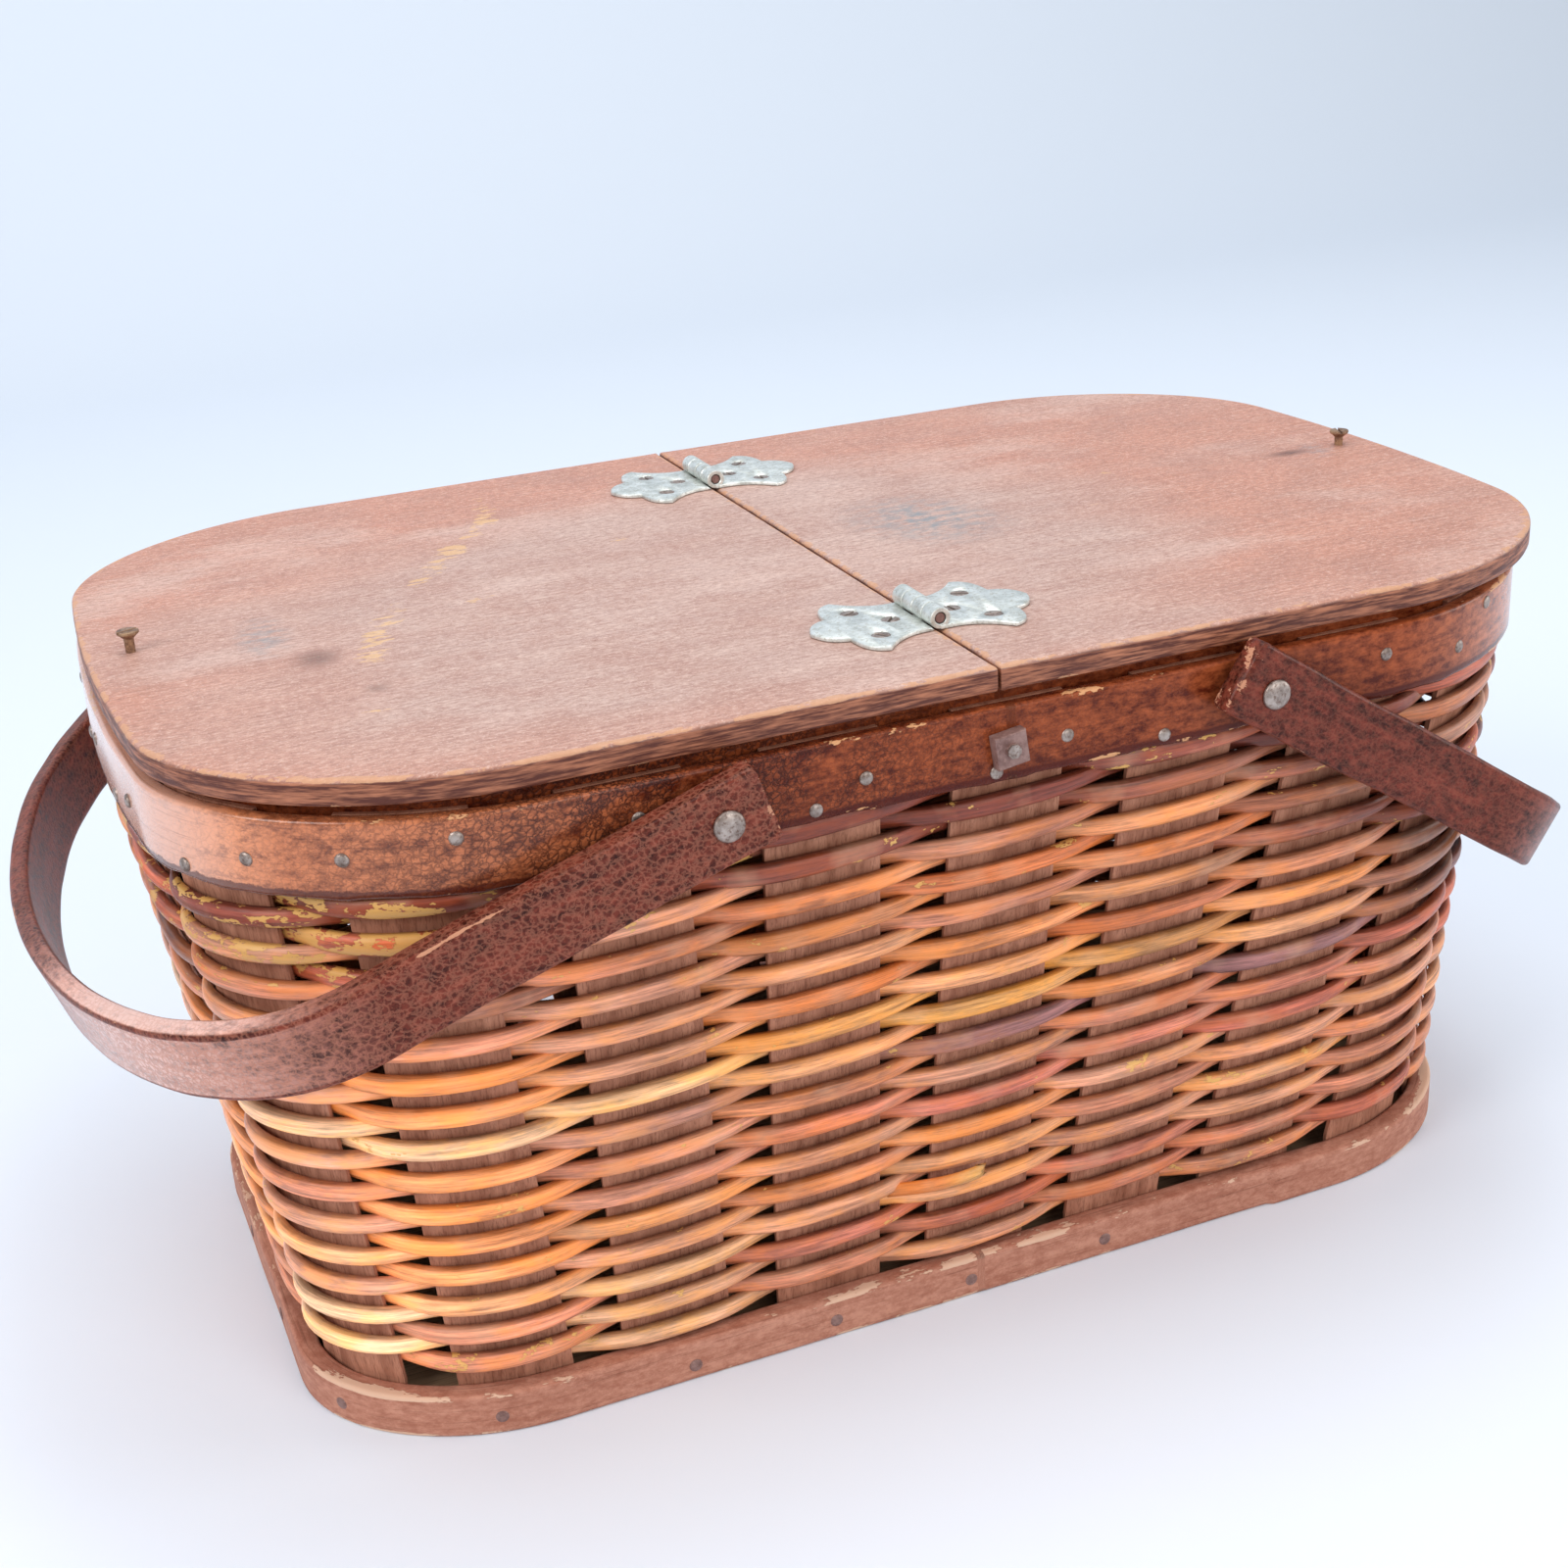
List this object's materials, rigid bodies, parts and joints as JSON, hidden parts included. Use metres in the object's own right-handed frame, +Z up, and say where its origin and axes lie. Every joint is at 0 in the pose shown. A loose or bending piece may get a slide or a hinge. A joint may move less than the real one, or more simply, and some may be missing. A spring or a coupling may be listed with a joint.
{
  "type": "picnic basket",
  "caption": "Worn wicker picnic basket with two hinged half lids, ornate surface hinges, bentwood rim and swinging wooden handles",
  "frame": {"origin": "centre of the flat underside, about under the seam between the lids", "axes": "+X along the basket's length to its right end, -Y the front long side, +Z up"},
  "size_m": [0.56, 0.342, 0.259],
  "materials": {
    "lid_wood": "faded worn stain, scuffed and scratched",
    "hoop_wood": "crackled glossy red-brown varnish with bare chips",
    "band_wood": "dull worn stain",
    "handle_wood": "dark crackled varnish, worn to tan at the edges",
    "splint_wood": "matte grey-brown with fine upright grain",
    "stained_reed": "satin stain in orange, red, ochre and brown bands, chipped",
    "inner_wood": "bare aged wood",
    "dull_nickel": "dull nickel plate, lightly spotted",
    "aged_steel": "aged, slightly rusty"
  },
  "bodies": {
    "basket": {"floor_board": "inner_wood", "bottom_band": "band_wood", "outer_hoop": "hoop_wood", "inner_hoop": "inner_wood", "crossbar": "inner_wood", "first_weaver": "stained_reed", "second_weaver": "stained_reed", "tie_rod": "aged_steel", "front_nut": "aged_steel", "rear_nut": "aged_steel", "front_hinge_pin": "aged_steel", "rear_hinge_pin": "aged_steel", "front_stake_1": "splint_wood", "front_stake_2": "splint_wood", "front_stake_3": "splint_wood", "front_stake_4": "splint_wood", "front_stake_5": "splint_wood", "front_stake_6": "splint_wood", "front_stake_7": "splint_wood", "right_stake_1": "splint_wood", "right_stake_2": "splint_wood", "right_stake_3": "splint_wood", "right_stake_4": "splint_wood", "rear_stake_1": "splint_wood", "rear_stake_2": "splint_wood", "rear_stake_3": "splint_wood", "rear_stake_4": "splint_wood", "rear_stake_5": "splint_wood", "rear_stake_6": "splint_wood", "rear_stake_7": "splint_wood", "left_stake_1": "splint_wood", "left_stake_2": "splint_wood", "left_stake_3": "splint_wood", "left_stake_4": "splint_wood", "left_front_rivet": "aged_steel", "left_front_washer": "aged_steel", "left_rear_rivet": "aged_steel", "left_rear_washer": "aged_steel", "right_front_rivet": "aged_steel", "right_front_washer": "aged_steel", "right_rear_rivet": "aged_steel", "right_rear_washer": "aged_steel"},
    "left_lid": {"left_lid": "lid_wood", "left_front_leaf": "dull_nickel", "left_rear_leaf": "dull_nickel", "left_pull_screw": "aged_steel"},
    "right_lid": {"right_lid": "lid_wood", "right_front_leaf": "dull_nickel", "right_rear_leaf": "dull_nickel", "right_pull_screw": "aged_steel"},
    "left_handle": {"left_handle": "handle_wood"},
    "right_handle": {"right_handle": "handle_wood"}
  },
  "joints": [
    {"name": "left_lid_hinge", "type": "hinge", "parent": "basket", "child": "left_lid", "pos_m": [-0.0015, 0, 0.2539], "axis": [0, 1, 0], "range_deg": [0, 85]},
    {"name": "right_lid_hinge", "type": "hinge", "parent": "basket", "child": "right_lid", "pos_m": [-0.0015, 0, 0.2539], "axis": [0, -1, 0], "range_deg": [0, 85]},
    {"name": "left_handle_pivot", "type": "hinge", "parent": "basket", "child": "left_handle", "pos_m": [-0.098, 0, 0.22325], "axis": [0, 1, 0], "range_deg": [-17, 118]},
    {"name": "right_handle_pivot", "type": "hinge", "parent": "basket", "child": "right_handle", "pos_m": [0.09, 0, 0.22775], "axis": [0, -1, 0], "range_deg": [0, 132]}
  ]
}
